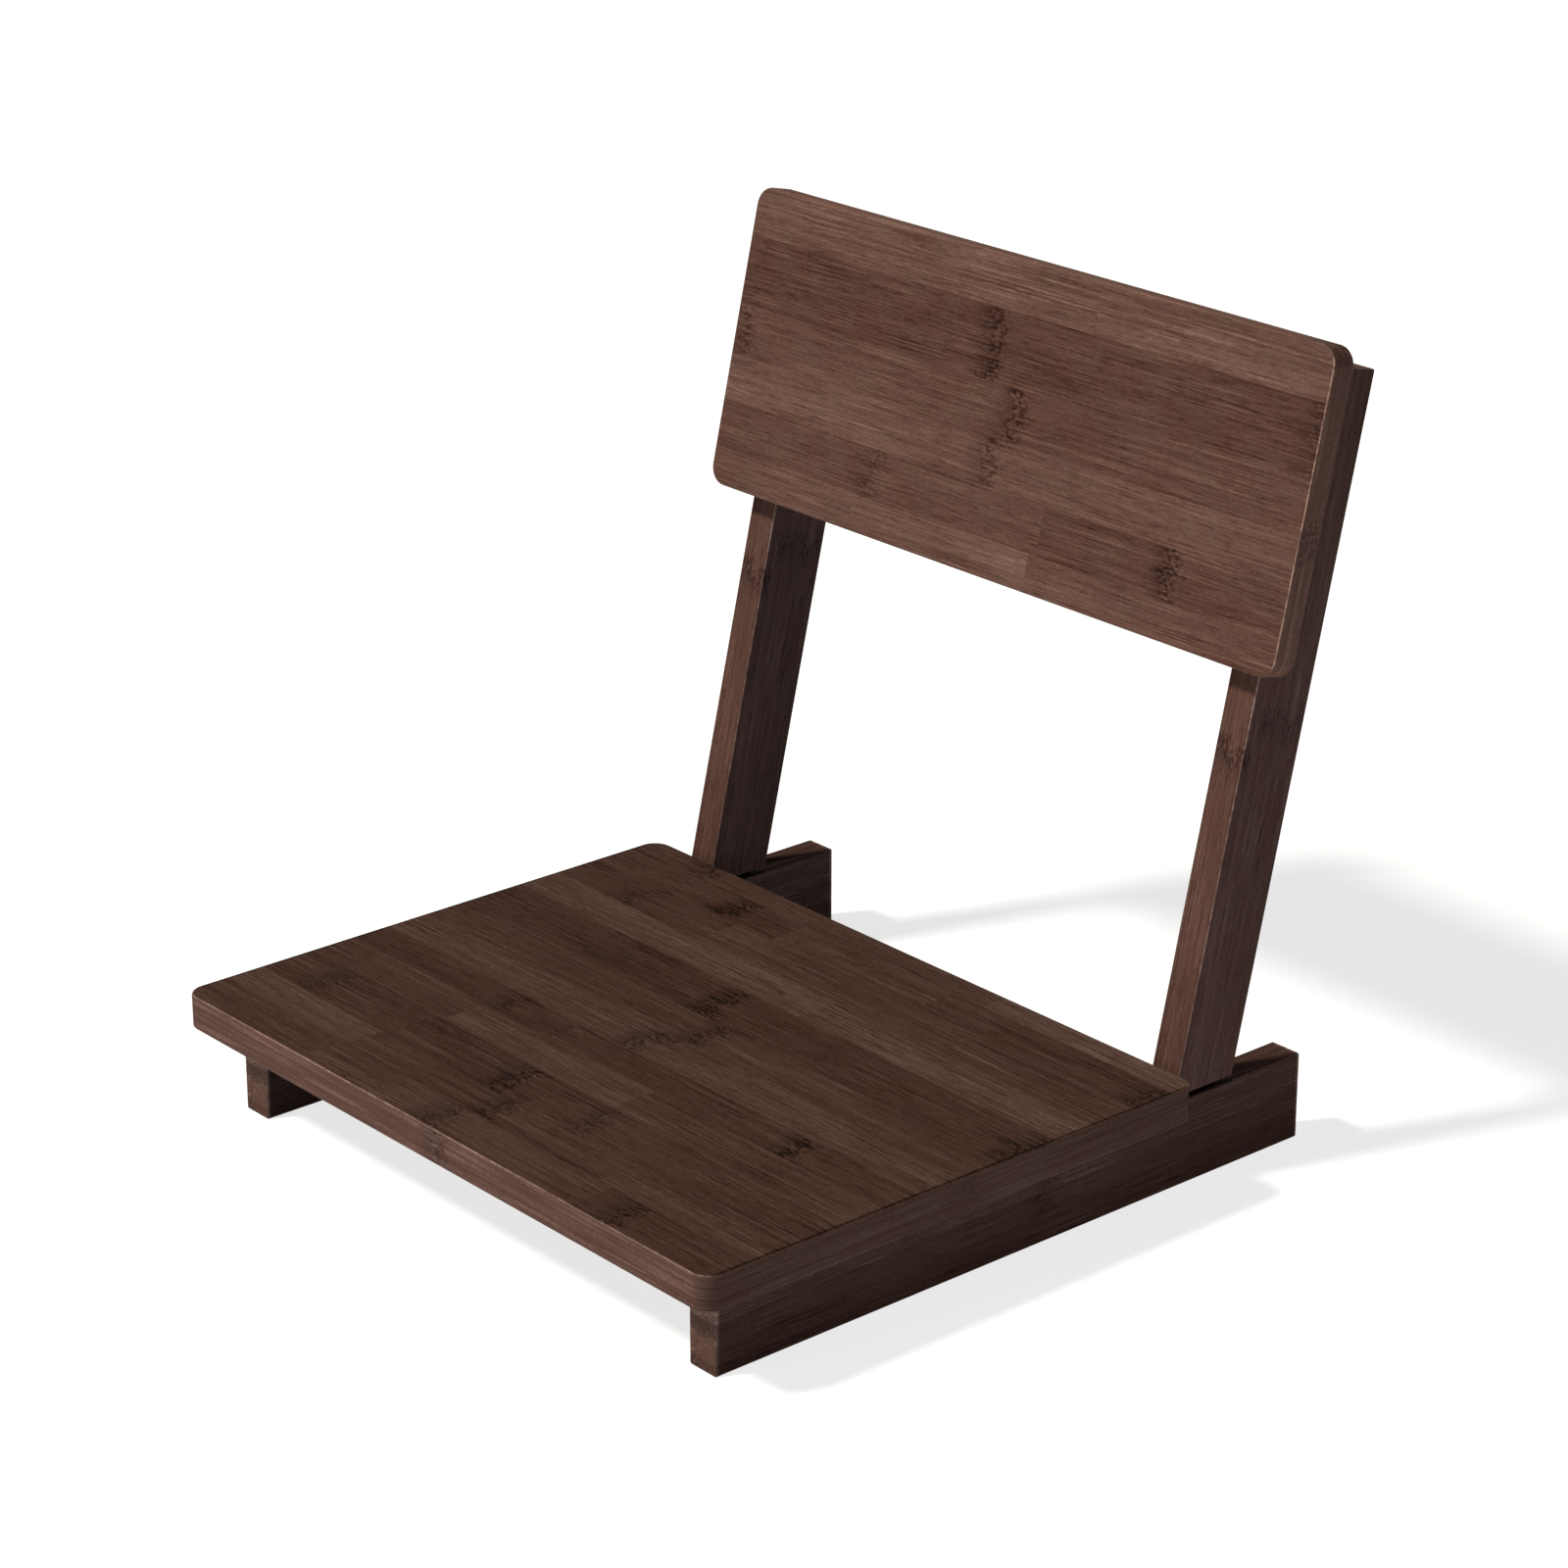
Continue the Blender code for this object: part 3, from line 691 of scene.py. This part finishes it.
def turned_beech():
    """Beech, turned and fluted, raw: pale pinkish wood with short darker rays."""
    material, tree = new_material("beech_turned_raw")
    place = add(tree, "TexCoord").outputs["Object"]
    ray = noise(tree, place, BEECH_RAY, 3.0)
    colour = add(tree, "ValToRGB", {0: ray}, ((0.35, linear("#b98f63")), (0.65, linear("#d9b68a"))))
    gloss = remap(tree, ray, (0.35, 0.65), (0.78, 0.62))
    relief = add(tree, "Bump", {"Height": ray, "Strength": 0.4, "Distance": 0.05 * MM})
    add_shader(tree, {"Base Color": colour, "Roughness": gloss, "Normal": relief,
                      "Specular IOR Level": 0.2})
    return material


# Stage

def seen_directly(tree):
    """The light path's outputs, and whether the eye sees a surface itself, in a mirror or through glass."""
    path = add(tree, "LightPath").outputs
    seen = reckon(tree, "MAXIMUM", path["Is Camera Ray"], path["Is Glossy Ray"])
    return path, reckon(tree, "MAXIMUM", seen, path["Is Transmission Ray"])


def make_floor():
    """A plain paper floor: white to the eye, with the chair's shadow.

    It throws back little light, is clear from below, and lets the low lamps shine through.
    """
    half = FLOOR_SIZE / 2
    corners = np.array(((-1, -1, 0), (1, -1, 0), (1, 1, 0), (-1, 1, 0))) * half
    mesh = bpy.data.meshes.new("floor")
    mesh.from_pydata(corners.tolist(), [], [(0, 1, 2, 3)])
    floor = add_object("floor", mesh)
    material, tree = new_material("white_paper_floor")
    path, seen = seen_directly(tree)
    dull = add(tree, "BsdfDiffuse", {"Color": linear(BOUNCE_COLOUR)})
    shaded = add(tree, "BsdfDiffuse", {"Color": linear(FLOOR_COLOUR)})
    white = add(tree, "Emission", {"Strength": FLOOR_GLOW})
    paper = add(tree, "AddShader", {0: shaded, 1: white})
    shown = add(tree, "MixShader", {0: seen, 1: dull, 2: paper})
    below = add(tree, "NewGeometry").outputs["Backfacing"]
    clear = add(tree, "BsdfTransparent")
    passed = reckon(tree, "MAXIMUM", below, path["Is Shadow Ray"])
    both = add(tree, "MixShader", {0: passed, 1: shown, 2: clear})
    add(tree, "OutputMaterial", {"Surface": both})
    mesh.materials.append(material)


def make_world():
    """An even pale room, which is white to the eye and in reflections."""
    world = bpy.data.worlds.new("pale_room")
    bpy.context.scene.world = world
    tree = empty_tree(world)
    _, seen = seen_directly(tree)
    room = add(tree, "Background", {"Color": linear(ROOM_COLOUR), "Strength": ROOM_LEVEL})
    white = add(tree, "Background", {"Color": linear("#ffffff"), "Strength": 1.0})
    shown = add(tree, "MixShader", {0: seen, 1: room, 2: white})
    add(tree, "OutputWorld", {"Surface": shown})


def direction(azimuth, elevation):
    """The unit vector towards a place round the chair: azimuth 0 is the front, 90 degrees its right."""
    flat = math.cos(elevation)
    return Vector((math.sin(azimuth) * flat, -math.cos(azimuth) * flat, math.sin(elevation)))


def make_lamp(name, kind, azimuth, elevation, distance, mirrored):
    """A lamp that faces the chair from a direction. A mirrored one also glints in polished edges."""
    data = bpy.data.lights.new(name, kind)
    lamp = bpy.data.objects.new(name, data)
    bpy.context.scene.collection.objects.link(lamp)
    towards = direction(azimuth, elevation)
    lamp.location = CHAIR_MIDDLE + distance * towards
    lamp.rotation_mode = "QUATERNION"
    lamp.rotation_quaternion = towards.to_track_quat("Z", "Y")
    lamp.visible_glossy = mirrored
    lamp.visible_camera = False
    return data


def make_lights():
    """A soft key from the front left, two fills, and washes from behind and from below.

    A sun of pi shows a white card as white. A disc of power P at distance d does so where P is
    (pi d) squared.
    """
    key = make_lamp("key", "SUN", KEY_AZIMUTH, KEY_ELEVATION, KEY_DISTANCE, True)
    key.energy = KEY_LEVEL * math.pi
    key.angle = KEY_WIDTH
    for name, (azimuth, elevation, distance, width, level, colour) in SOFT_LAMPS.items():
        lamp = make_lamp(name, "AREA", math.radians(azimuth), math.radians(elevation), distance, False)
        lamp.shape = "DISK"
        lamp.size = width
        lamp.energy = level * (math.pi * distance) ** 2
        lamp.color = linear(colour)[:3]


def make_camera():
    """The camera at the picture's viewing angle."""
    data = bpy.data.cameras.new("camera")
    data.sensor_width = SENSOR_MM
    data.lens = SENSOR_MM * FOCAL_PX / PICTURE_PX
    camera = bpy.data.objects.new("camera", data)
    bpy.context.scene.collection.objects.link(camera)
    camera.location = CAMERA_PLACE
    camera.rotation_euler = (math.pi / 2 - CAMERA_ELEVATION, 0, CAMERA_AZIMUTH)
    bpy.context.scene.camera = camera
    bpy.context.scene.view_settings.view_transform = "Standard"


# The chair

# Stain colours from the darkest fleck, through the middle tone, to the palest rubbed edge, which is also a
# painted highlight.
# The seat's and the rails' stains are darker than the backboard's and the uprights', partly their own colour
# and partly painted shade on faces that look up.
SEAT_STAIN_AND_SHADE = ("#1d110b", "#3a251c", "#4c362c", "#604a3f", "#9a7868")
BACKBOARD_STAIN = ("#2a1912", "#492f26", "#5d4237", "#735649", "#ab8770")
RAIL_STAIN_AND_SHADE = ("#1d110c", "#3a271f", "#4a352c", "#664c41", "#9a7c6d")
UPRIGHT_STAIN = ("#251711", "#452e26", "#5a3f35", "#6d5244", "#a68e82")
# A bar's left and right side: the tone added there and how strong its colour stays, painted light and shade
# for how light falls on that side
RAIL_SIDE_SHADING = {"left": ((0.01, 1.0), (0.20, 0.82)), "right": ((0.20, 0.82), (0.01, 1.0))}
UPRIGHT_SIDE_SHADING = {"left": ((0.02, 0.95), (-0.04, 0.82)), "right": ((-0.04, 0.82), (0.02, 0.95))}
# Painted light on the rails' end faces: the tone added to make them lighter
RAIL_END_LIGHT = {"left": 0.38, "right": 0.35}
# Edges of the boards: tones of the long edges and the ends, their bamboo nodes, a turn of the long edges' hue
# and what is added to the strength of the colour. Tones, hue and strength are partly the plies' own and
# partly painted light and shade, set edge by edge for how light falls on it.
SEAT_RIM = {"edge": 0.74, "end": 0.58, "edge_nodes": {3: 1.3}, "end_nodes": {1: 0.5},
            "hue": -0.008, "strength": 0.03}
# The backboard's end mark at 82 mm is painted shade at the top corners of its ends, drawn as a bamboo node
BACKBOARD_RIM = {"edge": 0.70, "end": 0.73, "edge_nodes": {-60: 0.7}, "end_nodes": {-14: 1.2, 82: 1.8},
                 "hue": 0.0, "strength": 0.07}


def finish_piece(piece, node, body, material):
    """Gives a made piece its finish and the body that it rides on, and hides the solid that it stands for."""
    piece.data.materials.clear()
    piece.data.materials.append(material)
    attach(piece, body)
    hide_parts(node)


def dress():
    """Boards and bars with their finishes, then the fasteners' finishes.

    A finish's wear and highlight is what rubbing and a painted highlight add to the tone of its long edges
    and of its ends.
    """
    seat_axes = (ACROSS_CHAIR, BACK, UP)
    back_axes = (ACROSS_CHAIR, LIFT, BOARD_FRONT)
    rail_axes = (BACK, UP, ACROSS_CHAIR)
    upright_axes = (LIFT, -BOARD_FRONT, ACROSS_CHAIR)

    seat = make_board("seat_board", seat_axes, fasteners_of("seat"))
    bamboo = stained_bamboo("laminated_bamboo_stained_seat", SEAT_STAIN_AND_SHADE, SEAT_LAYUP,
                            *size_in("seat_board", seat_axes), ((0, 1, 2), 0.0),
                            edge_wear_and_highlight=(0.30, 0.10), rim=SEAT_RIM, ends=(-0.10, -0.42))
    finish_piece(seat, "seat_board", "base", bamboo)

    back = make_board("backboard", back_axes, fasteners_of("back"))
    bamboo = stained_bamboo("laminated_bamboo_stained_backboard", BACKBOARD_STAIN, BACKBOARD_LAYUP,
                            *size_in("backboard", back_axes), ((0, 2, 1), LEAN),
                            edge_wear_and_highlight=(0.10, 0.48), rim=BACKBOARD_RIM)
    finish_piece(back, "backboard", "backrest", bamboo)

    # Painted shade in the joints: the uprights' tenons, and the rails' tops under the uprights' shoulders,
    # are made nearly black, as the gap between them lies in shade
    tenon = np.array(((-FAR, -FAR, -FAR), (FAR, FAR, SHOULDER)))
    foot = points_of("upright_left")
    foot = foot[np.abs(foot[:, 2] - SHOULDER) < SHOULDER_REACH]
    joint = np.array(((-FAR, foot[:, 1].min(), SHOULDER - SHOULDER_REACH),
                      (FAR, foot[:, 1].max(), SHOULDER)))

    for side in ("left", "right"):
        rail = make_bar("rail_" + side, rail_axes)
        bamboo = stained_bamboo("bamboo_bar_stained_rail_" + side, RAIL_STAIN_AND_SHADE, RAIL_LAYUP,
                                *size_in("rail_" + side, rail_axes), ((1, 2, 0), 0.0),
                                edge_wear_and_highlight=(0.08, 0.1), ends=(RAIL_END_LIGHT[side],) * 2,
                                side_shading=RAIL_SIDE_SHADING[side], figure=0.75, gap_shade=joint)
        finish_piece(rail, "rail_" + side, "base", bamboo)
        upright = make_bar("upright_" + side, upright_axes)
        bamboo = stained_bamboo("bamboo_bar_stained_upright_" + side, UPRIGHT_STAIN, UPRIGHT_LAYUP,
                                *size_in("upright_" + side, upright_axes), ((2, 1, 0), LEAN),
                                edge_wear_and_highlight=(0.42, 0.26), side_shading=UPRIGHT_SIDE_SHADING[side], figure=0.95, gap_shade=tenon)
        finish_piece(upright, "upright_" + side, "backrest", bamboo)

    steel, beech = zinc_steel(), turned_beech()
    for node in sorted(frame["nodes"]):
        if "screw" in node or "dowel" in node:
            frame["nodes"][node].data.materials.clear()
            frame["nodes"][node].data.materials.append(steel if "screw" in node else beech)


make_camera()
make_world()
make_lights()
make_floor()
dress()
